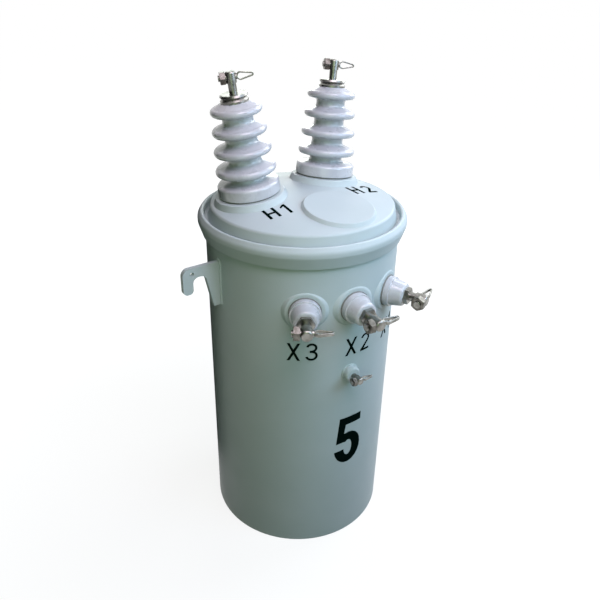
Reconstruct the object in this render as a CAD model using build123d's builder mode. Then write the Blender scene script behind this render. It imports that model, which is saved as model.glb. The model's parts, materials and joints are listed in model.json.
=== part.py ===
from build123d import *
import os
from math import asin, cos, degrees, radians, sin, sqrt

# Single-phase pole transformer. Lengths are millimetres and angles degrees.
# The tank's axis is Z and its foot is at zero. The low-voltage side faces -Y
# and the pole hangers are at the back, on +Y.

# Tank
tank_radius = 165.0
tank_height = 600.0
sheet = 3.0
rim_width = 5.0
bottom_recess = 12.0
seat_gap = 0.25

# Cover: a crowned pressing, clamped on a little turned from the tank's front
cover_gasket_thickness = 4.0
cover_inset = 10.0
cover_rise = 24.3
cover_crown = 19.0
cover_round = 5.0
shoulder_spread = 5.0
cover_turn_angle = 9.6
cover_seam_angle = -135.0
blank_angle = -90.0
crown_flat_edge = 9.0
crown_flat_radius = 57.0
crown_flat_slope = 5.0
crown_flat_round = 2.0
blank_rise = 3.0

# Clamp band with its ears and draw bolt
band_sheet = 2.8
band_reach = 12.0
band_drop = 16.0
band_rise = 15.5
band_foot_gap = 4.0
band_belly = 7.0
band_lip_inset = 2.3
band_round = 8.0
band_bend = 2.0
band_split = 14.0
band_split_angle = 45.0
ear_thickness = 6.0
ear_reach = 22.0
ear_corner = 5.0
band_bolt_radius = 5.0
band_nut_flats = 17.0
band_nut_thickness = 8.0

# High-voltage bushings
hv_angle = 25.0
hv_seat_rise = 7.0
hv_gasket_thickness = 3.0
hv_gasket_radius = 48.0
hv_collar_radius = 50.6
hv_collar_height = 18.0
hv_collar_slope = 4.0
hv_collar_round = 5.0
hv_core_foot_radius = 29.0
hv_core_top_radius = 23.4
hv_shed_count = 4
hv_first_shed = 39.1
hv_shed_pitch = 31.2
hv_foot_shed_radius = 49.1
hv_top_shed_radius = 40.7
hv_shed_lip = 6.0
hv_shed_root = 12.0
hv_shed_under = 8.0
hv_neck_round = 5.0
hv_top_land = 0.4
hv_cap_radius = 22.2
hv_cap_height = 12.0
hv_cap_groove = 2.6
hv_stud_stand = 24.0
hv_share = 0.85
hv_eye_angle = -30.0

# Low-voltage bushings
lv_drop = 92.0
lv_spread_angle = 28.5
lv_flat_radius = 32.0
lv_flat_stand = 1.5
lv_flat_round = 4.0
lv_gasket_radius = 26.5
lv_gasket_thickness = 2.5
lv_flange_radius = 25.5
lv_flange_length = 9.0
lv_flange_round = 2.5
lv_body_radius = 23.0
lv_tip_radius = 19.0
lv_tip_round = 5.0
lv_length = 31.0
lv_stud_stand = 28.0
lv_seat_nut_flats = 25.0
lv_seat_nut_thickness = 7.0

# Eyebolt connectors
stud_radius = 7.5
head_radius = 9.5
head_height = 20.0
head_round = 3.5
shank_radius = 5.2
shank_gap = 0.25
shank_tail = 3.0
nut_flats = 21.0
nut_thickness = 10.0
nut_bevel = 2.0
eye_root_radius = 7.5
eye_tip_radius = 3.6
eye_length = 20.0
eye_wall = 2.6
eye_thickness = 5.5
eye_round = 1.0

# Ground connector
ground_drop = 127.5
ground_boss_radius = 14.0
ground_boss_length = 12.0
ground_boss_round = 4.0
ground_stud_stand = 15.0
ground_share = 0.65

# Lifting lugs
lug_turn_angle = 5.0
lug_drop = 38.5
lug_reach = 66.0
lug_thickness = 8.0
lug_foot_drop = 77.5
lug_foot_reach = 13.5
lug_tip_drop = 45.0
lug_tip_width = 17.5
lug_tip_round = 7.5
lug_slot_width = 22.0
lug_slot_drop = 17.5
lug_slot_round_share = 0.45
lug_corner = 12.0
lug_hole_radius = 3.5
lug_hole_inset = 16.5
lug_hole_drop = 10.5

# Pole hangers
hanger_drop = 130.0
hanger_spacing = 285.75
hanger_width = 90.0
hanger_height = 76.0
hanger_stand = 34.0
hanger_plate = 6.0
hanger_bend = 9.0
hanger_slot_radius = 10.3
hanger_slot_length = 38.0

# Levels and radii that several pieces share
inner_radius = tank_radius - sheet
rim_radius = tank_radius + rim_width
rim_foot = tank_height - sheet
cover_seat = tank_height + cover_gasket_thickness
flange_top = cover_seat + sheet
cover_edge = flange_top + cover_rise
cover_disc_radius = tank_radius - cover_inset
crown_radius = (cover_disc_radius**2 + cover_crown**2) / (2 * cover_crown)
crown_centre = cover_edge + cover_crown - crown_radius
flat_reach = cover_disc_radius - crown_flat_radius - crown_flat_edge
band_radius = tank_radius + band_reach
band_top = flange_top + band_rise
hv_length = hv_first_shed + (hv_shed_count - 1) * hv_shed_pitch + hv_shed_root + hv_top_land
lv_level = tank_height - lv_drop
lv_face = tank_radius + lv_flat_stand
overrun = sheet

os.makedirs("parts", exist_ok=True)


def write(part, name):
    part.label = name
    export_step(part, f"parts/{name}.step")


def section_of(place):
    """Plane through the axis of a placed piece: radius across, height up."""
    return Plane(place.origin, x_dir=place.x_dir, z_dir=-place.y_dir)


def across(place):
    """Plane square to the eyebolt that crosses a terminal."""
    return Plane(place.origin, x_dir=place.y_dir, z_dir=place.x_dir)


def axis_of(place):
    return Axis(place.origin, place.z_dir)


def side_place(angle, radius, level):
    """Plane facing out of the tank's side, at an angle from the front."""
    out = Vector(sin(radians(angle)), -cos(radians(angle)), 0)
    around = Vector(cos(radians(angle)), sin(radians(angle)), 0)
    return Plane(out * radius + Vector(0, 0, level), x_dir=around, z_dir=out)


def upright(angle):
    """Half-plane through the tank's axis: radius across, level up."""
    return Plane.XZ.rotated((0, 0, angle), ordering=Extrinsic.XYZ)


def crown_place(angle):
    """Plane on the crowned cover, square to it, at an angle from the cover's right."""
    tilt = degrees(asin(flat_reach / crown_radius))
    aft = Vector(0, 1, 0).rotate(Axis.Z, cover_turn_angle)
    up = Vector(0, 0, 1).rotate(Axis.Y, tilt).rotate(Axis.Z, angle + cover_turn_angle)
    spot = up * crown_radius + Vector(0, 0, crown_centre)
    return Plane(spot, x_dir=aft.cross(up).normalized(), z_dir=up)


hv_places = {"h1": crown_place(180 - hv_angle), "h2": crown_place(hv_angle)}
blank_place = crown_place(blank_angle)
lv_angles = {"x3": -lv_spread_angle, "x2": 0, "x1": lv_spread_angle}


# Tank: rolled shell with three soft-edged flats for the low-voltage bushings
with BuildPart() as tank_wall:
    with BuildSketch():
        Circle(tank_radius)
    extrude(amount=rim_foot)
    flat_sag = tank_radius - sqrt(tank_radius**2 - lv_flat_radius**2)
    flat_depth = lv_flat_stand + 2 * flat_sag
    for angle in lv_angles.values():
        face = side_place(angle, lv_face, lv_level)
        with BuildSketch(section_of(face)):
            with BuildLine():
                FilletPolyline(
                    (0, -flat_depth),
                    (lv_flat_radius + flat_depth, -flat_depth),
                    (lv_flat_radius, 0),
                    (0, 0),
                    radius=(0, 0, lv_flat_round, 0),
                    close=True,
                )
            make_face()
        revolve(axis=axis_of(face))
    with BuildSketch():
        Circle(inner_radius)
    extrude(amount=rim_foot, mode=Mode.SUBTRACT)
write(tank_wall.part, "tank_wall")

# Rim: flat ring welded on the shell's upper end, which the clamp band grips
with BuildPart() as tank_rim:
    with BuildSketch(Plane.XY.offset(rim_foot)):
        Circle(rim_radius)
        Circle(inner_radius, mode=Mode.SUBTRACT)
    extrude(amount=sheet)
write(tank_rim.part, "tank_rim")

with BuildPart() as tank_bottom:
    with BuildSketch(Plane.XY.offset(bottom_recess)):
        Circle(inner_radius - seat_gap)
    extrude(amount=sheet)
write(tank_bottom.part, "tank_bottom")

with BuildPart() as cover_gasket:
    with BuildSketch(Plane.XY.offset(tank_height)):
        Circle(rim_radius)
        Circle(inner_radius, mode=Mode.SUBTRACT)
    extrude(amount=cover_gasket_thickness)
write(cover_gasket.part, "cover_gasket")

# Cover: flange, steep shoulder and crown from one sheet, with three raised flats:
# two carry the high-voltage bushings and the front one is blank
with BuildPart() as cover:
    with BuildSketch(upright(cover_turn_angle + cover_seam_angle)):
        with BuildLine() as pressing:
            middle = crown_radius - sheet / 2
            edge_radius = cover_disc_radius - sheet / 2
            edge = (edge_radius, crown_centre + sqrt(middle**2 - edge_radius**2))
            Polyline(
                (rim_radius, cover_seat + sheet / 2),
                (edge_radius + shoulder_spread, cover_seat + sheet / 2),
                edge,
            )
            RadiusArc(edge, (0, crown_centre + middle), -middle)
            fillet(pressing.vertices(), cover_round - sheet / 2)
        trace(pressing.line, line_width=sheet)
    revolve(axis=Axis.Z)
    flat_foot = crown_flat_radius + crown_flat_slope
    sink = flat_foot**2 / (2 * crown_radius) + sheet / 2
    rises = [(place, hv_seat_rise) for place in hv_places.values()] + [(blank_place, blank_rise)]
    for place, rise in rises:
        with BuildSketch(section_of(place)):
            with BuildLine():
                FilletPolyline(
                    (0, -sink),
                    (flat_foot, -sink),
                    (crown_flat_radius, rise),
                    (0, rise),
                    radius=(0, 0, crown_flat_round, 0),
                    close=True,
                )
            make_face()
        revolve(axis=axis_of(place))
write(cover.part, "cover")

# Clamp band: one formed strip, open at the back, drawn together through two ears
split = Plane.XY.rotated((0, 0, band_split_angle))
ear_foot = rim_radius + 2 * seat_gap
ear_tip = band_radius + ear_reach
ear_side = band_split / 2 + ear_thickness
ear_low = rim_foot
ear_centre = Plane(
    split.from_local_coords(((band_radius + ear_tip) / 2, 0, (ear_low + band_top) / 2)),
    x_dir=split.x_dir,
    z_dir=split.y_dir,
)
with BuildPart() as cover_band:
    with BuildSketch(Plane.XZ):
        with BuildLine() as strip:
            FilletPolyline(
                (tank_radius + band_foot_gap, tank_height - band_drop),
                (band_radius - band_sheet / 2, cover_seat),
                (band_radius - band_sheet / 2, cover_seat + band_belly),
                (rim_radius - band_lip_inset, band_top),
                (rim_radius - band_lip_inset, flange_top),
                radius=(band_round, band_round, band_bend),
            )
        trace(strip.line, line_width=band_sheet)
    revolve(axis=Axis.Z)
    with BuildSketch(split):
        with Locations((tank_radius, 0)):
            Rectangle(tank_radius, band_split)
    extrude(amount=band_top + overrun, mode=Mode.SUBTRACT)
    with BuildSketch(split.offset(ear_low)):
        for ear in (-1, 1):
            with Locations(((ear_foot + ear_tip) / 2, ear * (band_split + ear_thickness) / 2)):
                Rectangle(ear_tip - ear_foot, ear_thickness)
    extrude(amount=band_top - ear_low)
    ear_edges = cover_band.edges().filter_by(Axis((0, 0, 0), split.y_dir))
    fillet(ear_edges.filter_by(lambda e: split.to_local_coords(e.center()).X > ear_tip - overrun), ear_corner)
    with BuildSketch(ear_centre):
        Circle(band_bolt_radius + shank_gap)
    extrude(amount=ear_side + overrun, both=True, mode=Mode.SUBTRACT)
write(cover_band.part, "cover_band")

with BuildPart() as band_bolt:
    with BuildSketch(ear_centre):
        Circle(band_bolt_radius)
    extrude(amount=ear_side + band_nut_thickness + band_bolt_radius, both=True)
    for way in (-1, 1):
        with BuildSketch(ear_centre.offset(way * ear_side)):
            RegularPolygon(band_nut_flats / 2, 6, major_radius=False)
        extrude(amount=way * band_nut_thickness)
write(band_bolt.part, "band_bolt")


def terminal(name, foot, stand, share=1.0, seat_flats=0):
    """Stud with a cross-drilled head, the eyebolt through it and the eyebolt's nut.

    Seat flats give the stud a hexagon where it leaves its bushing.
    """
    place = foot.offset(stand)
    stud_r = stud_radius * share
    head_r = head_radius * share
    head_h = head_height * share
    bevel = head_round * share
    shank_r = shank_radius * share
    nut_t = nut_thickness * share
    nut_r = nut_flats * share / sqrt(3)
    nut_face = head_r + shank_gap
    root = (head_r + eye_root_radius * share + shank_gap, 0)
    tip = (root[0] + eye_length * share, 0)
    with BuildPart() as stud:
        with BuildSketch(section_of(place)):
            with BuildLine():
                FilletPolyline(
                    (0, -stand),
                    (stud_r, -stand),
                    (stud_r, -head_h / 2),
                    (head_r, -head_h / 2),
                    (head_r, head_h / 2),
                    (0, head_h / 2),
                    radius=(0, 0, 0, 0, bevel, 0),
                    close=True,
                )
            make_face()
        revolve(axis=axis_of(place))
        with BuildSketch(across(place)):
            Circle(shank_r + shank_gap)
        extrude(amount=head_r + overrun, both=True, mode=Mode.SUBTRACT)
        if seat_flats:
            with BuildSketch(foot):
                RegularPolygon(seat_flats / 2, 6, major_radius=False)
            extrude(amount=lv_seat_nut_thickness)
    write(stud.part, f"{name}_stud")

    with BuildPart() as eyebolt:
        with BuildSketch(section_of(place)):
            with Locations(root):
                Circle(eye_root_radius * share)
            with Locations(tip):
                Circle(eye_tip_radius * share)
            make_hull()
            with BuildSketch(mode=Mode.SUBTRACT):
                with Locations(root):
                    Circle((eye_root_radius - eye_wall) * share)
                with Locations(tip):
                    Circle((eye_tip_radius - eye_wall) * share)
                make_hull()
        extrude(amount=eye_thickness * share / 2, both=True)
        fillet(eyebolt.faces().filter_by(Axis((0, 0, 0), place.y_dir)).edges(), eye_round * share)
        with BuildSketch(across(place).offset(-(nut_face + nut_t + shank_tail * share))):
            Circle(shank_r)
        extrude(amount=2 * nut_face + nut_t + (shank_tail + eye_wall / 2) * share)
    write(eyebolt.part, f"{name}_eyebolt")

    with BuildPart() as nut:
        with BuildSketch(across(place).offset(-nut_face)):
            RegularPolygon(nut_flats * share / 2, 6, major_radius=False)
            Circle(shank_r + shank_gap, mode=Mode.SUBTRACT)
        extrude(amount=-nut_t)
        with BuildSketch(section_of(place)):
            with BuildLine():
                Polyline(
                    (-nut_face, 0),
                    (-nut_face, nut_flats * share / 2),
                    (-nut_face - nut_bevel * share / 2, nut_r),
                    (-nut_face - nut_t + nut_bevel * share / 2, nut_r),
                    (-nut_face - nut_t, nut_flats * share / 2),
                    (-nut_face - nut_t, 0),
                    close=True,
                )
            make_face()
        revolve(axis=Axis(place.origin, place.x_dir), mode=Mode.INTERSECT)
    write(nut.part, f"{name}_nut")


def core_radius(level):
    """Radius of a high-voltage porcelain's tapering core."""
    slope = (hv_core_foot_radius - hv_core_top_radius) / hv_length
    return hv_core_foot_radius - slope * level


# High-voltage bushings: gasket, porcelain with its sheds, grooved cap and connector
for name, place in hv_places.items():
    seat = place.offset(hv_seat_rise)
    foot = seat.offset(hv_gasket_thickness)
    crown = foot.offset(hv_length)
    cap_top = crown.offset(hv_cap_height)
    with BuildPart() as hv_gasket:
        with BuildSketch(seat):
            Circle(hv_gasket_radius)
        extrude(amount=hv_gasket_thickness)
    write(hv_gasket.part, f"{name}_gasket")

    with BuildPart() as hv_porcelain:
        with BuildSketch(section_of(foot)) as hv_profile:
            with BuildLine():
                FilletPolyline(
                    (0, 0),
                    (hv_collar_radius, 0),
                    (hv_collar_radius, hv_collar_height),
                    (core_radius(hv_collar_height), hv_collar_height + hv_collar_slope),
                    (core_radius(hv_length), hv_length),
                    (0, hv_length),
                    radius=(0, 0, hv_collar_round, 0, 0, 0),
                    close=True,
                )
            make_face()
            for step in range(hv_shed_count):
                level = hv_first_shed + step * hv_shed_pitch
                shrink = (hv_foot_shed_radius - hv_top_shed_radius) / (hv_shed_count - 1)
                rim = hv_foot_shed_radius - step * shrink
                under = (rim - hv_shed_lip, level - hv_shed_lip)
                over = (rim - hv_shed_lip, level + hv_shed_lip)
                with BuildLine():
                    Polyline(
                        (0, level - hv_shed_under),
                        (core_radius(level - hv_shed_under), level - hv_shed_under),
                        under,
                    )
                    ThreePointArc(under, (rim, level), over)
                    Polyline(
                        over,
                        (core_radius(level + hv_shed_root), level + hv_shed_root),
                        (0, level + hv_shed_root),
                        (0, level - hv_shed_under),
                    )
                make_face()
            corners = hv_profile.vertices().filter_by(lambda v: v.Y < level)
            necks = corners.filter_by(lambda v: overrun < v.X < hv_core_foot_radius)
            fillet(necks, hv_neck_round)
        revolve(axis=axis_of(foot))
    write(hv_porcelain.part, f"{name}_porcelain")

    with BuildPart() as hv_cap:
        with BuildSketch(section_of(crown)):
            with BuildLine():
                Polyline(
                    (0, 0),
                    (hv_cap_radius, 0),
                    (hv_cap_radius, hv_cap_height / 4),
                    (hv_cap_radius - hv_cap_groove, hv_cap_height / 2),
                    (hv_cap_radius, hv_cap_height * 3 / 4),
                    (hv_cap_radius - hv_cap_groove / 2, hv_cap_height),
                    (0, hv_cap_height),
                    close=True,
                )
            make_face()
        revolve(axis=axis_of(crown))
    write(hv_cap.part, f"{name}_cap")

    eye_way = cap_top.x_dir.rotate(Axis((0, 0, 0), cap_top.z_dir), hv_eye_angle)
    terminal(name, Plane(cap_top.origin, x_dir=eye_way, z_dir=cap_top.z_dir), hv_stud_stand, hv_share)

# Low-voltage bushings: gasket, porcelain and connector on each flat
for name, angle in lv_angles.items():
    seat = side_place(angle, lv_face, lv_level)
    foot = seat.offset(lv_gasket_thickness)
    with BuildPart() as lv_gasket:
        with BuildSketch(seat):
            Circle(lv_gasket_radius)
        extrude(amount=lv_gasket_thickness)
    write(lv_gasket.part, f"{name}_gasket")

    with BuildPart() as lv_porcelain:
        with BuildSketch(section_of(foot)):
            with BuildLine():
                FilletPolyline(
                    (0, 0),
                    (lv_flange_radius, 0),
                    (lv_flange_radius, lv_flange_length),
                    (lv_body_radius, lv_flange_length),
                    (lv_tip_radius, lv_length),
                    (0, lv_length),
                    radius=(0, 0, lv_flange_round / 2, lv_flange_round / 4, lv_tip_round, 0),
                    close=True,
                )
            make_face()
        revolve(axis=axis_of(foot))
    write(lv_porcelain.part, f"{name}_porcelain")

    terminal(name, foot.offset(lv_length), lv_stud_stand, seat_flats=lv_seat_nut_flats)

# Ground connector: boss on the wall under the middle bushing
boss_face = side_place(0, tank_radius + ground_boss_length, lv_level - ground_drop)
with BuildPart() as ground_boss:
    with BuildSketch(boss_face):
        Circle(ground_boss_radius)
    extrude(amount=-(ground_boss_length + ground_boss_radius))
    fillet(ground_boss.edges().sort_by(Axis.Y)[0], ground_boss_round)
    with BuildSketch():
        Circle(tank_radius + seat_gap)
    extrude(amount=tank_height, mode=Mode.SUBTRACT)
write(ground_boss.part, "ground_boss")
terminal("ground", boss_face, ground_stud_stand, ground_share)

# Lifting lugs: hooked plates welded to the sides
lug_tip = tank_radius + lug_reach
lug_slot = lug_tip - lug_tip_width
lug_arch = lug_slot_width * lug_slot_round_share
for name, side in (("left", -1), ("right", 1)):
    out = Vector(side, 0, 0).rotate(Axis.Z, lug_turn_angle)
    around = Vector(0, -side, 0).rotate(Axis.Z, lug_turn_angle)
    with BuildPart() as lifting_lug:
        with BuildSketch(Plane((0, 0, tank_height - lug_drop), x_dir=out, z_dir=around)):
            with BuildLine():
                FilletPolyline(
                    (inner_radius, 0),
                    (lug_tip, 0),
                    (lug_tip, -lug_tip_drop),
                    (lug_slot, -lug_tip_drop),
                    (lug_slot, -lug_slot_drop),
                    (lug_slot - lug_slot_width, -lug_slot_drop),
                    (tank_radius + lug_foot_reach, -lug_foot_drop),
                    (inner_radius, -lug_foot_drop),
                    radius=(0, lug_corner, lug_tip_round, lug_tip_round, lug_arch, lug_arch, 0, 0),
                    close=True,
                )
            make_face()
            with Locations((lug_tip - lug_hole_inset, -lug_hole_drop)):
                Circle(lug_hole_radius, mode=Mode.SUBTRACT)
        extrude(amount=lug_thickness / 2, both=True)
        with BuildSketch():
            Circle(tank_radius + seat_gap)
        extrude(amount=tank_height, mode=Mode.SUBTRACT)
    write(lifting_lug.part, f"lifting_lug_{name}")

# Pole hangers: bent plates at the back, slotted for the pole bolts
hanger_face = tank_radius + hanger_stand
hanger_level = tank_height - hanger_drop
for name, level in (("upper", hanger_level), ("lower", hanger_level - hanger_spacing)):
    foot_level = level - hanger_height / 2
    with BuildPart() as hanger:
        with BuildSketch(Plane.XY.offset(foot_level)):
            with BuildLine() as bent:
                FilletPolyline(
                    (hanger_plate / 2 - hanger_width / 2, 0),
                    (hanger_plate / 2 - hanger_width / 2, hanger_face - hanger_plate / 2),
                    (hanger_width / 2 - hanger_plate / 2, hanger_face - hanger_plate / 2),
                    (hanger_width / 2 - hanger_plate / 2, 0),
                    radius=hanger_bend - hanger_plate / 2,
                )
            trace(bent.line, line_width=hanger_plate)
        extrude(amount=hanger_height)
        with BuildSketch(Plane.XY.offset(foot_level)):
            Circle(tank_radius + seat_gap)
        extrude(amount=hanger_height, mode=Mode.SUBTRACT)
        with BuildSketch(Plane((0, hanger_face, level), x_dir=(0, 0, 1), z_dir=(0, 1, 0))):
            SlotOverall(hanger_slot_length, 2 * hanger_slot_radius)
        extrude(amount=-2 * hanger_plate, mode=Mode.SUBTRACT)
    write(hanger.part, f"{name}_hanger")
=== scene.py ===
import json
from math import asin, cos, degrees, pi, radians, sin, sqrt

import bmesh
import bpy
from mathutils import Matrix, Vector


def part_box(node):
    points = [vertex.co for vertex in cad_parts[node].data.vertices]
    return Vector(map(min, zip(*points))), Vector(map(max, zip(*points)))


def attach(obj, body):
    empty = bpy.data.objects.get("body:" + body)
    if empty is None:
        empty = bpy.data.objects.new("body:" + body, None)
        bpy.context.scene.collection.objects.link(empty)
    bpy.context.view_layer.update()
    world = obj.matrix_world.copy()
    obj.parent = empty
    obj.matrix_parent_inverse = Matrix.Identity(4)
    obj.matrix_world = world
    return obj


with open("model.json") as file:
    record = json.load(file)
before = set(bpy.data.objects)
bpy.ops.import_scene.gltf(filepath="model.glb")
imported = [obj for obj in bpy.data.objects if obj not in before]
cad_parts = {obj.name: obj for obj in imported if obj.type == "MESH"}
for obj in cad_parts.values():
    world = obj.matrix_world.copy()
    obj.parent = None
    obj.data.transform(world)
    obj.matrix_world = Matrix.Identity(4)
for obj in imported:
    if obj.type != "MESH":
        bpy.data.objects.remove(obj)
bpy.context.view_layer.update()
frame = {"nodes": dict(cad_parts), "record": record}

# Sizes are metres, written in millimetres times MM
MM = 0.001


def centre(node):
    low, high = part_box(node)
    return (low + high) / 2


# Places taken from the frame
TANK_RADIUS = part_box("tank_wall")[1].x
TANK_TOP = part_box("tank_rim")[1].z
TANK_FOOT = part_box("tank_wall")[0].z


# Colour and nodes

def colour(hex_code):
    """Linear colour of an sRGB hex code."""
    channels = [int(hex_code[i : i + 2], 16) / 255 for i in (1, 3, 5)]
    linear = [c / 12.92 if c <= 0.04045 else ((c + 0.055) / 1.055) ** 2.4 for c in channels]
    return (*linear, 1.0)


def add(tree, kind, settings=None, inputs=None):
    """Adds a node with its settings, and fills its inputs with values or with other nodes' outputs."""
    made = tree.nodes.new(kind)
    for name, value in (settings or {}).items():
        setattr(made, name, value)
    for name, value in (inputs or {}).items():
        if isinstance(value, bpy.types.NodeSocket):
            tree.links.new(value, made.inputs[name])
        else:
            made.inputs[name].default_value = value
    return made


def new_material(name):
    made = bpy.data.materials.new(name)
    made.use_nodes = True
    made.node_tree.nodes.clear()
    return made


def per_metre(size_mm):
    """Texture scale that gives a pattern of this size."""
    return 1 / (size_mm * MM)


def cloudy(tree, size_mm, low, high, detail=3.0):
    """Pattern of a real size that runs from a low to a high value, in the object's own metres."""
    place = add(tree, "ShaderNodeTexCoord")
    noise = add(tree, "ShaderNodeTexNoise", inputs={
        "Vector": place.outputs["Object"], "Scale": per_metre(size_mm), "Detail": detail})
    spread = add(tree, "ShaderNodeMapRange", inputs={
        "Value": noise.outputs["Fac"], "From Min": 0.3, "From Max": 0.7, "To Min": low, "To Max": high})
    return spread.outputs["Result"]


def finish_with(made, inputs):
    """Ends a material in one shader that takes these inputs."""
    tree = made.node_tree
    shader = add(tree, "ShaderNodeBsdfPrincipled", inputs=inputs)
    add(tree, "ShaderNodeOutputMaterial", inputs={"Surface": shader.outputs["BSDF"]})
    return made


# Materials

def sprayed_enamel():
    """Semi-gloss enamel sprayed on steel: an even pale grey with soft reflections, a faint orange
    peel and the slightest clouding where coats overlap."""
    made = new_material("sprayed_semi_gloss_enamel")
    tree = made.node_tree
    coats = cloudy(tree, 110, 0.0, 1.0)
    peel = cloudy(tree, 2.6, 0.0, 1.0, detail=1.0)
    tone = add(tree, "ShaderNodeMix", {"data_type": "RGBA"}, {
        0: coats, 6: colour("#B9C6C6"), 7: colour("#C0CBCC")})
    skin = add(tree, "ShaderNodeBump", inputs={"Height": peel, "Distance": 0.02 * MM})
    return finish_with(made, {
        "Base Color": tone.outputs[2],
        "Roughness": cloudy(tree, 30, 0.40, 0.48),
        "IOR": 1.5,
        "Specular IOR Level": 0.22,
        "Normal": skin.outputs["Normal"],
    })


def glazed_porcelain():
    """Fired glaze over porcelain: a cool, pale grey under a clear, hard, glossy skin."""
    made = new_material("glazed_porcelain")
    tree = made.node_tree
    pooling = cloudy(tree, 45, 0.0, 1.0)
    ripple = cloudy(tree, 9, 0.0, 1.0, detail=0.0)
    tone = add(tree, "ShaderNodeMix", {"data_type": "RGBA"}, {
        0: pooling, 6: colour("#B8BABF"), 7: colour("#C6C8CC")})
    skin = add(tree, "ShaderNodeBump", inputs={"Height": ripple, "Distance": 0.04 * MM})
    return finish_with(made, {
        "Base Color": tone.outputs[2],
        "Roughness": cloudy(tree, 20, 0.24, 0.32),
        "IOR": 1.5,
        "Coat Weight": 0.5,
        "Coat Roughness": 0.08,
        "Normal": skin.outputs["Normal"],
    })


def moulded_gasket():
    """Cork and nitrile rubber pressed into sheet: grey, dull and finely speckled."""
    made = new_material("cork_rubber_gasket")
    tree = made.node_tree
    speckle = cloudy(tree, 1.2, 0.0, 1.0)
    tone = add(tree, "ShaderNodeMix", {"data_type": "RGBA"}, {
        0: speckle, 6: colour("#6E716F"), 7: colour("#8E8D89")})
    skin = add(tree, "ShaderNodeBump", inputs={"Height": speckle, "Distance": 0.05 * MM})
    return finish_with(made, {
        "Base Color": tone.outputs[2],
        "Roughness": 0.85,
        "Normal": skin.outputs["Normal"],
    })


def tinned_bronze():
    """Cast bronze dipped in tin: a dulled silver, darker where the tin is thin, over the grain of a
    sand casting."""
    made = new_material("tinned_cast_bronze")
    tree = made.node_tree
    thin = cloudy(tree, 9, 0.0, 1.0)
    grain = cloudy(tree, 2.2, 0.0, 1.0, detail=1.0)
    tone = add(tree, "ShaderNodeMix", {"data_type": "RGBA"}, {
        0: thin, 6: colour("#A09F9A"), 7: colour("#72706A")})
    skin = add(tree, "ShaderNodeBump", inputs={"Height": grain, "Distance": 0.015 * MM})
    return finish_with(made, {
        "Base Color": tone.outputs[2],
        "Metallic": 1.0,
        "Roughness": cloudy(tree, 5, 0.28, 0.40),
        "Normal": skin.outputs["Normal"],
    })


def machined_bronze():
    """Bronze nuts turned from bar, tinned and handled: duller and browner than the castings."""
    made = new_material("machined_bronze")
    tree = made.node_tree
    worn = cloudy(tree, 6, 0.0, 1.0)
    scratches = cloudy(tree, 1.6, 0.0, 1.0, detail=1.0)
    tone = add(tree, "ShaderNodeMix", {"data_type": "RGBA"}, {
        0: worn, 6: colour("#7B7973"), 7: colour("#4E4B45")})
    skin = add(tree, "ShaderNodeBump", inputs={"Height": scratches, "Distance": 0.01 * MM})
    return finish_with(made, {
        "Base Color": tone.outputs[2],
        "Metallic": 1.0,
        "Roughness": cloudy(tree, 4, 0.26, 0.38),
        "Normal": skin.outputs["Normal"],
    })


def zinc_plated_steel():
    """Steel bolts with a bright zinc plate: cool silver with a faint cloudy bloom."""
    made = new_material("zinc_plated_steel")
    tree = made.node_tree
    bloom = cloudy(tree, 6, 0.0, 1.0)
    tone = add(tree, "ShaderNodeMix", {"data_type": "RGBA"}, {
        0: bloom, 6: colour("#C2C6C9"), 7: colour("#A5A9A6")})
    skin = add(tree, "ShaderNodeBump", inputs={"Height": bloom, "Distance": 0.02 * MM})
    return finish_with(made, {
        "Base Color": tone.outputs[2],
        "Metallic": 1.0,
        "Roughness": cloudy(tree, 4, 0.28, 0.42),
        "Normal": skin.outputs["Normal"],
    })


def stencil_paint():
    """Black enamel brushed through a stencil: a thin dull film with a trace of green."""
    made = new_material("stencilled_black_enamel")
    tree = made.node_tree
    brushed = cloudy(tree, 3.0, 0.0, 1.0)
    tone = add(tree, "ShaderNodeMix", {"data_type": "RGBA"}, {
        0: brushed, 6: colour("#04120F"), 7: colour("#081714")})
    skin = add(tree, "ShaderNodeBump", inputs={"Height": brushed, "Distance": 0.02 * MM})
    return finish_with(made, {
        "Base Color": tone.outputs[2],
        "Roughness": cloudy(tree, 12, 0.55, 0.65),
        "Specular IOR Level": 0.0,
        "Normal": skin.outputs["Normal"],
    })


finishes = {
    "enamel": sprayed_enamel(),
    "porcelain": glazed_porcelain(),
    "gasket_rubber": moulded_gasket(),
    "tinned_bronze": tinned_bronze(),
    "bronze_nut": machined_bronze(),
    "zinc_steel": zinc_plated_steel(),
}
paint = stencil_paint()

for subpart in frame["record"]["subparts"]:
    node = frame["nodes"][subpart["node"]]
    node.data.materials.clear()
    node.data.materials.append(finishes[subpart["material_slot"]])


# Pieces that ride on the frame

def place_piece(name, mesh, material):
    made = bpy.data.meshes.new(name)
    bmesh.ops.recalc_face_normals(mesh, faces=mesh.faces)
    mesh.to_mesh(made)
    mesh.free()
    made.materials.append(material)
    piece = bpy.data.objects.new(name, made)
    bpy.context.scene.collection.objects.link(piece)
    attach(piece, "root")
    return piece


def arc(middle, reach, start, end, steps=16):
    """Points of an elliptic arc between two angles in degrees."""
    angles = [radians(start + (end - start) * i / steps) for i in range(steps + 1)]
    return [(middle[0] + reach[0] * cos(a), middle[1] + reach[1] * sin(a)) for a in angles]


def on_wall(angle, level):
    """Lays flat points (along, up, out) on the tank's side, from an angle in degrees off the front
    and a level."""
    def wrap(flat):
        turn = radians(angle) + flat.x / TANK_RADIUS
        reach = TANK_RADIUS + flat.z
        return Vector((reach * sin(turn), -reach * cos(turn), level + flat.y))
    return wrap


def in_foot(radius, level):
    """Lays flat points inside the tank's foot, along a ring that faces down."""
    def wrap(flat):
        turn = flat.x / radius
        reach = radius - flat.y
        return Vector((reach * sin(turn), -reach * cos(turn), level - flat.z))
    return wrap


# Weld beads, painted over with the tank

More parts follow.
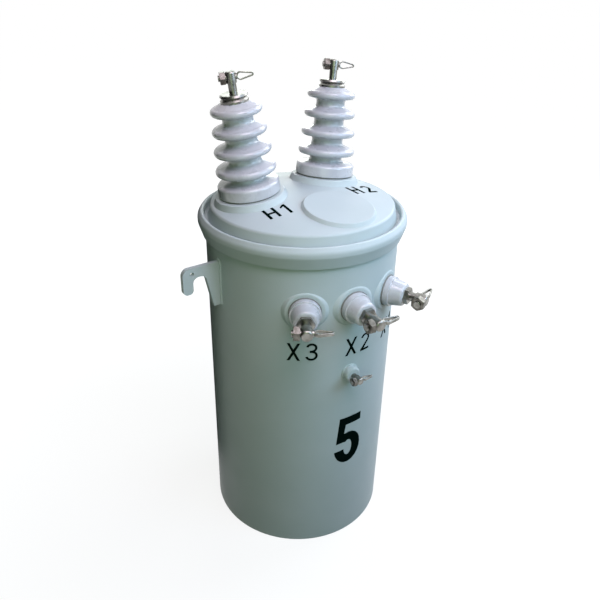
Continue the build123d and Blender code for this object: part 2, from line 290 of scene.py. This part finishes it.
BEAD_RIPPLE = 3.2 * MM
BEAD_STEP = BEAD_RIPPLE / 6
BEAD_SIDES = 10


def evenly(corners, closed):
    """Points one bead step apart along a line of flat corners."""
    spots = [Vector((*corner, 0)) for corner in corners]
    if closed:
        spots.append(spots[0])
    line = []
    for start, end in zip(spots, spots[1:]):
        count = max(1, round((end - start).length / BEAD_STEP))
        line += [start.lerp(end, i / count) for i in range(count)]
    return line if closed else line + [spots[-1]]


def weld_bead(name, corners, radius, wrap, closed=False):
    """Round ridge of weld along a line, rippled where each puddle froze."""
    line = evenly(corners, closed)
    mesh = bmesh.new()
    rings = []
    for i, spot in enumerate(line):
        before = line[i - 1] if closed or i else spot
        after = line[(i + 1) % len(line)] if closed or i + 1 < len(line) else spot
        ahead = (after - before).normalized()
        side = ahead.cross(Vector((0, 0, 1)))
        swell = radius * (0.88 + 0.18 * abs(sin(pi * i * BEAD_STEP / BEAD_RIPPLE)))
        ring = []
        for j in range(BEAD_SIDES):
            turn = 2 * pi * j / BEAD_SIDES
            flat = spot + side * (swell * cos(turn)) + Vector((0, 0, swell * sin(turn)))
            ring.append(mesh.verts.new(wrap(flat)))
        rings.append(ring)
    pairs = list(zip(rings, rings[1:]))
    if closed:
        pairs.append((rings[-1], rings[0]))
    else:
        mesh.faces.new(rings[0])
        mesh.faces.new(rings[-1])
    for first, second in pairs:
        for j in range(BEAD_SIDES):
            k = (j + 1) % BEAD_SIDES
            mesh.faces.new((first[j], first[k], second[k], second[j]))
    for face in mesh.faces:
        face.smooth = True
    place_piece(name, mesh, finishes["enamel"])


def foot_loop(width, height, corner):
    """Rounded outline round the foot of a plate that stands on the wall."""
    across, up = width / 2 - corner, height / 2 - corner
    round_off = (corner, corner)
    return (arc((across, up), round_off, 0, 90, 6) + arc((-across, up), round_off, 90, 180, 6)
            + arc((-across, -up), round_off, 180, 270, 6) + arc((across, -up), round_off, 270, 360, 6))


BEAD_MARGIN = 2 * MM
BEAD_CORNER = 3 * MM

LUG_THICKNESS = 8 * MM
LUG_TURN = 5
LUG_BEAD = 2.1 * MM
for name, angle in (("left", LUG_TURN - 90), ("right", LUG_TURN + 90)):
    low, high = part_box(f"lifting_lug_{name}")
    loop = foot_loop(LUG_THICKNESS + BEAD_MARGIN, high.z - low.z + BEAD_MARGIN, BEAD_CORNER)
    weld_bead(f"lug_weld_{name}", loop, LUG_BEAD, on_wall(angle, (low.z + high.z) / 2), closed=True)

HANGER_PLATE = 6 * MM
HANGER_BEAD = 3 * MM
for name in ("upper", "lower"):
    low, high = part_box(f"{name}_hanger")
    for way, side in (("left", -1), ("right", 1)):
        middle = high.x - HANGER_PLATE / 2
        angle = side * (180 - degrees(asin(middle / TANK_RADIUS)))
        loop = foot_loop(HANGER_PLATE + BEAD_MARGIN, high.z - low.z + BEAD_MARGIN, BEAD_CORNER)
        wall = on_wall(angle, (low.z + high.z) / 2)
        weld_bead(f"{name}_hanger_weld_{way}", loop, HANGER_BEAD, wall, closed=True)

BOSS_BEAD = 2 * MM
boss_low, boss_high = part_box("ground_boss")
boss_radius = (boss_high.x - boss_low.x) / 2
boss_ring = arc((0, 0), (boss_radius, boss_radius), 0, 360, 48)[:-1]
weld_bead("boss_weld", boss_ring, BOSS_BEAD, on_wall(0, (boss_low.z + boss_high.z) / 2), closed=True)

SEAM_ANGLE = 138
SEAM_BEAD = 1.8 * MM
SEAM_START = 3 * MM
SEAM_GAP = 1 * MM
seam_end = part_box("cover_band")[0].z - SEAM_GAP - TANK_FOOT
weld_bead("tank_seam", [(0, SEAM_START), (0, seam_end)], SEAM_BEAD, on_wall(SEAM_ANGLE, TANK_FOOT))

BOTTOM_BEAD = 3 * MM
plate_low, plate_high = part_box("tank_bottom")
foot_ring = [(2 * pi * plate_high.x * i / 180, 0) for i in range(181)]
weld_bead("bottom_weld", foot_ring, BOTTOM_BEAD, in_foot(plate_high.x, plate_low.z))


# Screw threads on the ends that show

THREAD_STEPS = 28
THREAD_SINK = 0.1 * MM
THREAD_CREST_SHARE = 0.5
THREAD_ROOT_SHARE = 0.45


def screw_thread(name, start, way, length, radius, pitch, slot):
    """Ridge that winds along a rod, as a helix with a pointed crest."""
    side = way.orthogonal().normalized()
    over = way.cross(side)
    foot = radius - THREAD_SINK
    root = THREAD_ROOT_SHARE * pitch
    ridge = [(foot, -root), (radius + THREAD_CREST_SHARE * pitch, 0), (foot, root)]
    mesh = bmesh.new()
    rows = []
    for i in range(int(THREAD_STEPS * length / pitch) + 1):
        turn = 2 * pi * i / THREAD_STEPS
        out = side * cos(turn) + over * sin(turn)
        spot = start + way * (pitch * i / THREAD_STEPS)
        rows.append([mesh.verts.new(spot + out * reach + way * along) for reach, along in ridge])
    for first, second in zip(rows, rows[1:]):
        for j in range(3):
            k = (j + 1) % 3
            mesh.faces.new((first[j], first[k], second[k], second[j]))
    mesh.faces.new(rows[0])
    mesh.faces.new(rows[-1])
    place_piece(name, mesh, finishes[slot])


SHANK_RADIUS = 5.2 * MM
SHANK_TAIL = 3 * MM
SHANK_PITCH = 0.9 * MM
SHANK_START = 0.7 * MM
SHANK_END = 1.0 * MM
NUT_THICKNESS = 10 * MM
EYEBOLT_SHARES = {"h1": 0.85, "h2": 0.85, "x1": 1.0, "x2": 1.0, "x3": 1.0, "ground": 0.65}


def terminal_axis(name):
    """A place on a terminal's axis and the way it points."""
    if name == "ground":
        return centre("ground_boss"), Vector((0, -1, 0))
    seat = centre(f"{name}_gasket")
    if name.startswith("x"):
        return seat, Vector((seat.x, seat.y, 0)).normalized()
    return seat, (centre(f"{name}_cap") - seat).normalized()


for name, share in EYEBOLT_SHARES.items():
    seat, up = terminal_axis(name)
    nut = centre(f"{name}_nut")
    head = seat + up * (nut - seat).dot(up)
    way = (nut - head).normalized()
    start = nut + way * (NUT_THICKNESS * share / 2 + SHANK_START)
    length = SHANK_TAIL * share - SHANK_END
    radius = SHANK_RADIUS * share
    screw_thread(f"{name}_eyebolt_thread", start, way, length, radius, SHANK_PITCH, "tinned_bronze")

BAND_SPLIT_ANGLE = 45
BAND_BOLT_RADIUS = 5 * MM
BAND_BOLT_PITCH = 1.2 * MM
bolt = centre("band_bolt")
bolt_way = Vector((-sin(radians(BAND_SPLIT_ANGLE)), cos(radians(BAND_SPLIT_ANGLE)), 0))
for name, start, length in (
    ("inner", -6.2 * MM, 12.4 * MM),
    ("left", 21.8 * MM, 3.6 * MM),
    ("right", -25.4 * MM, 3.6 * MM),
):
    spot = bolt + bolt_way * start
    piece = f"band_bolt_thread_{name}"
    screw_thread(piece, spot, bolt_way, length, BAND_BOLT_RADIUS, BAND_BOLT_PITCH, "zinc_steel")


# Stencilled marks: outlines one unit tall, drawn clockwise

def letter_x(width, stroke):
    crotch = (width / 2 - stroke) / (width - stroke)
    waist = (width - stroke) / 2
    left = [(stroke, 0), (0, 0), (waist, 0.5), (0, 1), (stroke, 1), (width / 2, 1 - crotch)]
    return left + [(width - x, 1 - y) for x, y in left]


def letter_h(width, stroke):
    low, high = 0.5 - stroke / 2, 0.5 + stroke / 2
    left = [(stroke, low), (stroke, 0), (0, 0), (0, 1), (stroke, 1), (stroke, high)]
    return left + [(width - x, 1 - y) for x, y in left]


def numeral_one(width, stroke):
    stem = width - stroke
    flag = [(stem, 0.80), (0, 0.67), (0, 0.79), (width - 0.8 * stroke, 1)]
    return [(width, 0), (stem, 0)] + flag + [(width, 1)]


def numeral_two(width, stroke):
    middle = (width / 2, 0.71)
    outer = (width / 2, 0.29)
    inner = (outer[0] - stroke, outer[1] - stroke)
    foot = [(0.36 * width, stroke), (width, stroke), (width, 0), (0, 0), (0, 0.8 * stroke)]
    return arc(middle, outer, 165, -35) + foot + arc(middle, inner, -35, 165)


def numeral_three(width, stroke):
    high, low = (0.48 * width, 0.735), (0.48 * width, 0.285)
    high_outer, low_outer = (0.47 * width, 0.265), (0.52 * width, 0.285)
    high_inner = (high_outer[0] - stroke, high_outer[1] - stroke)
    low_inner = (low_outer[0] - stroke, low_outer[1] - stroke)
    right = arc(high, high_outer, 165, -52) + arc(low, low_outer, 52, -165)
    waist = [(0.33 * width, low[1] + low_inner[1]), (0.33 * width, high[1] - high_inner[1])]
    return right + arc(low, low_inner, -165, 90) + waist + arc(high, high_inner, -90, 165)


def numeral_five(width, stroke):
    middle = (width / 2, 0.335)
    outer = (width / 2, 0.335)
    inner = (outer[0] - stroke, outer[1] - 0.9 * stroke)
    head = [(0.15 * width, 1), (0.96 * width, 1), (0.96 * width, 0.845), (0.38 * width, 0.845)]
    neck = [(0.33 * width, 0.645)]
    stem = [(0.30 * width, 0.475), (0.06 * width, 0.46)]
    return head + neck + arc(middle, outer, 108, -172) + arc(middle, inner, -172, 128) + stem


PAINT_FILM = 0.3 * MM
PAINT_SINK = 0.1 * MM
PAINT_SPAN = 4 * MM


def painted_sign(name, signs, height, wrap):
    """Signs as a thin film of paint. Each sign is its outline and where it starts; wrap lays the
    film's flat points (along, up, thickness) on the surface that carries it."""
    mesh = bmesh.new()
    for outline, start in signs:
        corners = [mesh.verts.new((start + x * height, y * height, -PAINT_SINK)) for x, y in outline]
        mesh.faces.new(corners)
    bmesh.ops.triangulate(mesh, faces=mesh.faces, ngon_method="EAR_CLIP")
    for axis in (0, 1):
        reach = [v.co[axis] for v in mesh.verts]
        normal = [0, 0, 0]
        normal[axis] = 1
        cut = min(reach) + PAINT_SPAN
        while cut < max(reach):
            spot = [0, 0, 0]
            spot[axis] = cut
            everything = mesh.verts[:] + mesh.edges[:] + mesh.faces[:]
            bmesh.ops.bisect_plane(mesh, geom=everything, plane_co=spot, plane_no=normal)
            cut += PAINT_SPAN
    raised = bmesh.ops.extrude_face_region(mesh, geom=mesh.faces[:], use_keep_orig=True)
    for vert in [v for v in raised["geom"] if isinstance(v, bmesh.types.BMVert)]:
        vert.co.z = PAINT_FILM
    for vert in mesh.verts:
        vert.co = wrap(vert.co)
    place_piece(name, mesh, paint)


CROWN_RADIUS = 641.7 * MM
CROWN_TOP = TANK_TOP + 50.3 * MM


def crown_level(x, y):
    """Height of the cover's crowned top over a point."""
    fall = CROWN_RADIUS - sqrt(CROWN_RADIUS**2 - x * x - y * y)
    return CROWN_TOP - fall


def on_cover(x, y, turn):
    """Lays a mark on the cover, from its lower left corner and turned by degrees."""
    def wrap(flat):
        across = x + flat.x * cos(radians(turn)) - flat.y * sin(radians(turn))
        back = y + flat.x * sin(radians(turn)) + flat.y * cos(radians(turn))
        return Vector((across, back, crown_level(across, back) + flat.z))
    return wrap


side_height = 33 * MM
side_stroke = 0.115
side_letter = letter_x(0.66, 0.14)
gap = 9 * MM
second = 0.66 * side_height + gap
for name, numeral, angle, level in (
    ("mark_x3", numeral_three(0.60, side_stroke), -38.2, 417 * MM),
    ("mark_x2", numeral_two(0.58, side_stroke), -3.8, 415 * MM),
    ("mark_x1", numeral_one(0.36, side_stroke), 26.5, 416 * MM),
):
    signs = [(side_letter, 0), (numeral, second)]
    painted_sign(name, signs, side_height, on_wall(angle, level))

painted_sign("numeral_5", [(numeral_five(0.54, 0.185), 0)], 105 * MM, on_wall(-7.6, 178 * MM))

top_height = 31 * MM
top_stroke = 0.15
top_letter = letter_h(0.64, top_stroke)
for name, numeral, start, wrap in (
    ("mark_h1", numeral_one(0.36, top_stroke), 29 * MM, on_cover(-98.3 * MM, -69.5 * MM, 0)),
    ("mark_h2", numeral_two(0.64, top_stroke), 31 * MM, on_cover(79 * MM, -46 * MM, 9.6)),
):
    painted_sign(name, [(top_letter, 0), (numeral, start)], top_height, wrap)


# Floor, light and camera

CAMERA_BEARING = 30.94
CAMERA_REACH = 1026.1 * MM
CAMERA_HEIGHT = 1005.4 * MM
CAMERA_PITCH = 28.92
CAMERA_ROLL = 1.18
CAMERA_LENS = 38.38
STAND_BEARING = 31.0
LAMP_AIM_SHARE = 0.6
FLOOR_RADIUS = 12.0
GLOW_START = 0.25
GLOW_END = 1.2
CARD_STEPS = 24


def set_camera():
    """Stands the camera in front and to the left of the tank, looking down on it."""
    lens = bpy.data.cameras.new("camera")
    lens.lens = CAMERA_LENS
    lens.sensor_width = 36
    camera = bpy.data.objects.new("camera", lens)
    bpy.context.scene.collection.objects.link(camera)
    stand = radians(STAND_BEARING)
    spot = Matrix.Translation((-CAMERA_REACH * sin(stand), -CAMERA_REACH * cos(stand), CAMERA_HEIGHT))
    heading = Matrix.Rotation(radians(-CAMERA_BEARING), 4, "Z")
    tilt = Matrix.Rotation(radians(90 - CAMERA_PITCH), 4, "X")
    roll = Matrix.Rotation(radians(CAMERA_ROLL), 4, "Z")
    camera.matrix_world = spot @ heading @ tilt @ roll
    bpy.context.scene.camera = camera


def softbox(name, bearing, elevation, distance, width, height, power, tint):
    """Soft lamp aimed at the tank. The bearing is counted from the camera, to the right."""
    lamp = bpy.data.lights.new(name, "AREA")
    lamp.shape = "RECTANGLE"
    lamp.size = width
    lamp.size_y = height
    lamp.energy = power
    lamp.color = colour(tint)[:3]
    made = bpy.data.objects.new(name, lamp)
    bpy.context.scene.collection.objects.link(made)
    turn = radians(bearing - STAND_BEARING)
    rise = radians(elevation)
    out = Vector((sin(turn) * cos(rise), -cos(turn) * cos(rise), sin(rise)))
    made.location = Vector((0, 0, TANK_TOP * LAMP_AIM_SHARE)) + out * distance
    made.rotation_euler = out.to_track_quat("Z", "Y").to_euler()


def seen_directly(tree):
    """1 for what the camera, a reflection or a glass sees, 0 for what only lights the scene."""
    path = add(tree, "ShaderNodeLightPath")
    first = add(tree, "ShaderNodeMath", {"operation": "MAXIMUM"}, {
        0: path.outputs["Is Camera Ray"], 1: path.outputs["Is Glossy Ray"]})
    either = add(tree, "ShaderNodeMath", {"operation": "MAXIMUM"}, {
        0: first.outputs[0], 1: path.outputs["Is Transmission Ray"]})
    return either.outputs[0]


def set_surroundings():
    """White all round to the eye, and a dim even light on the object."""
    world = bpy.data.worlds.new("white_room")
    world.use_nodes = True
    tree = world.node_tree
    tree.nodes.clear()
    tone = add(tree, "ShaderNodeMix", {"data_type": "RGBA"}, {
        0: seen_directly(tree), 6: colour("#141614"), 7: colour("#FFFFFF")})
    shade = add(tree, "ShaderNodeBackground", inputs={"Color": tone.outputs[2], "Strength": 1.0})
    add(tree, "ShaderNodeOutputWorld", inputs={"Surface": shade.outputs[0]})
    bpy.context.scene.world = world


def lay_floor():
    """White floor that keeps the shadow round the foot and fades into the white room."""
    made = new_material("white_floor")
    tree = made.node_tree
    place = add(tree, "ShaderNodeTexCoord")
    distance = add(tree, "ShaderNodeVectorMath", {"operation": "LENGTH"}, {0: place.outputs["Object"]})
    glow = add(tree, "ShaderNodeMapRange", inputs={
        "Value": distance.outputs["Value"], "From Min": GLOW_START, "From Max": GLOW_END,
        "To Min": 0.86, "To Max": 1.0})
    strength = add(tree, "ShaderNodeMath", {"operation": "MULTIPLY"}, {
        0: glow.outputs["Result"], 1: seen_directly(tree)})
    finish_with(made, {
        "Base Color": colour("#727474"),
        "Roughness": 0.9,
        "Specular IOR Level": 0.0,
        "Emission Color": colour("#FFFFFF"),
        "Emission Strength": strength.outputs[0],
    })
    mesh = bmesh.new()
    bmesh.ops.create_circle(mesh, cap_ends=True, segments=96, radius=FLOOR_RADIUS)
    sheet = bpy.data.meshes.new("floor")
    mesh.to_mesh(sheet)
    mesh.free()
    sheet.materials.append(made)
    floor = bpy.data.objects.new("floor", sheet)
    floor.location.z = TANK_FOOT
    bpy.context.scene.collection.objects.link(floor)


def stand_flag(name, start, end, reach, height):
    """Dark curved card that only reflections see, so that paint and metal keep their shaded side."""
    made = new_material(name)
    finish_with(made, {"Base Color": colour("#161A17"), "Roughness": 1.0, "Specular IOR Level": 0.0})
    mesh = bmesh.new()
    rows = []
    for level in (TANK_FOOT, TANK_FOOT + height):
        row = arc((0, 0), (reach, reach), start - STAND_BEARING - 90, end - STAND_BEARING - 90, CARD_STEPS)
        rows.append([mesh.verts.new((x, y, level)) for x, y in row])
    for i in range(CARD_STEPS):
        mesh.faces.new((rows[0][i], rows[0][i + 1], rows[1][i + 1], rows[1][i]))
    sheet = bpy.data.meshes.new(name)
    mesh.to_mesh(sheet)
    mesh.free()
    sheet.materials.append(made)
    card = bpy.data.objects.new(name, sheet)
    bpy.context.scene.collection.objects.link(card)
    card.visible_camera = False
    card.visible_diffuse = False
    card.visible_shadow = False


set_camera()
set_surroundings()
lay_floor()
stand_flag("front_flag", -120, 50, 2.4, 3.2)
stand_flag("left_flag", -178, -80, 0.25, 0.62)
softbox("window_softbox", 130, 36, 2.0, 1.2, 1.5, 26.5, "#F1F8FF")
softbox("key_softbox", 62, 38, 1.15, 0.6, 0.6, 6.2, "#B9DEFF")
softbox("front_softbox", 0, 25, 1.3, 0.8, 0.8, 3.3, "#D8F8C4")
softbox("top_softbox", 20, 62, 1.2, 0.6, 0.6, 6.6, "#FCECFF")
softbox("back_softbox", -178, 20, 1.9, 0.8, 0.8, 8, "#ECF6EE")
bpy.context.scene.view_settings.view_transform = "Standard"
